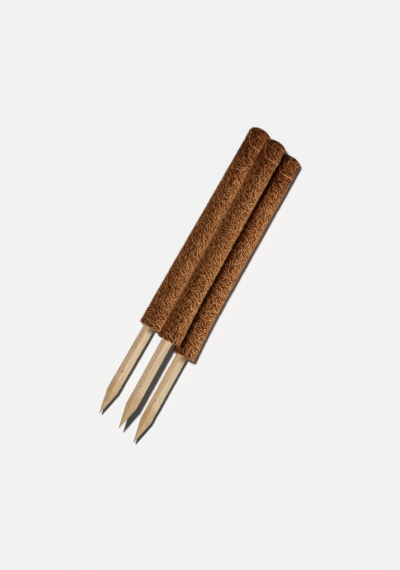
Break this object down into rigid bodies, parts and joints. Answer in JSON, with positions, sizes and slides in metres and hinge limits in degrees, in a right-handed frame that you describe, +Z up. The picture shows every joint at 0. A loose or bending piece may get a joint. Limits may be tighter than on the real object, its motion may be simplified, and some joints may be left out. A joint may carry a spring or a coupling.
{
  "type": "set of moss poles",
  "caption": "Round coir moss poles with domed tops on pointed square softwood stakes, lying side by side, the middle one on top; each is pushed into a pot to carry a climbing plant.",
  "frame": {"origin": "bottom centre of the set's box, on the surface that the two outer poles lie on", "axes": "+Y along the middle pole towards its domed top, +Z up, +X towards the right pole"},
  "size_m": [0.0822, 0.4116, 0.0436],
  "materials": {
    "softwood": "sawn, unfinished pale softwood",
    "packed_coir": "loose packed coconut fibre",
    "coir_mat": "matt latex-bonded coconut fibre",
    "thread": "undyed twisted thread"
  },
  "bodies": {
    "left_pole": {"left_stake": "softwood", "left_fibre_core": "packed_coir", "left_coir_mat": "coir_mat", "left_end_cap": "coir_mat", "left_tie_thread": "thread"},
    "middle_pole": {"middle_stake": "softwood", "middle_fibre_core": "packed_coir", "middle_coir_mat": "coir_mat", "middle_end_cap": "coir_mat", "middle_tie_thread": "thread"},
    "right_pole": {"right_stake": "softwood", "right_fibre_core": "packed_coir", "right_coir_mat": "coir_mat", "right_end_cap": "coir_mat", "right_tie_thread": "thread"}
  },
  "joints": [
    {"name": "middle_lift", "type": "slide", "parent": "left_pole", "child": "middle_pole", "axis": [0, 0, 1], "range_m": [0, 0.12]},
    {"name": "right_draw", "type": "slide", "parent": "left_pole", "child": "right_pole", "axis": [1, 0, 0], "range_m": [0, 0.1]}
  ]
}
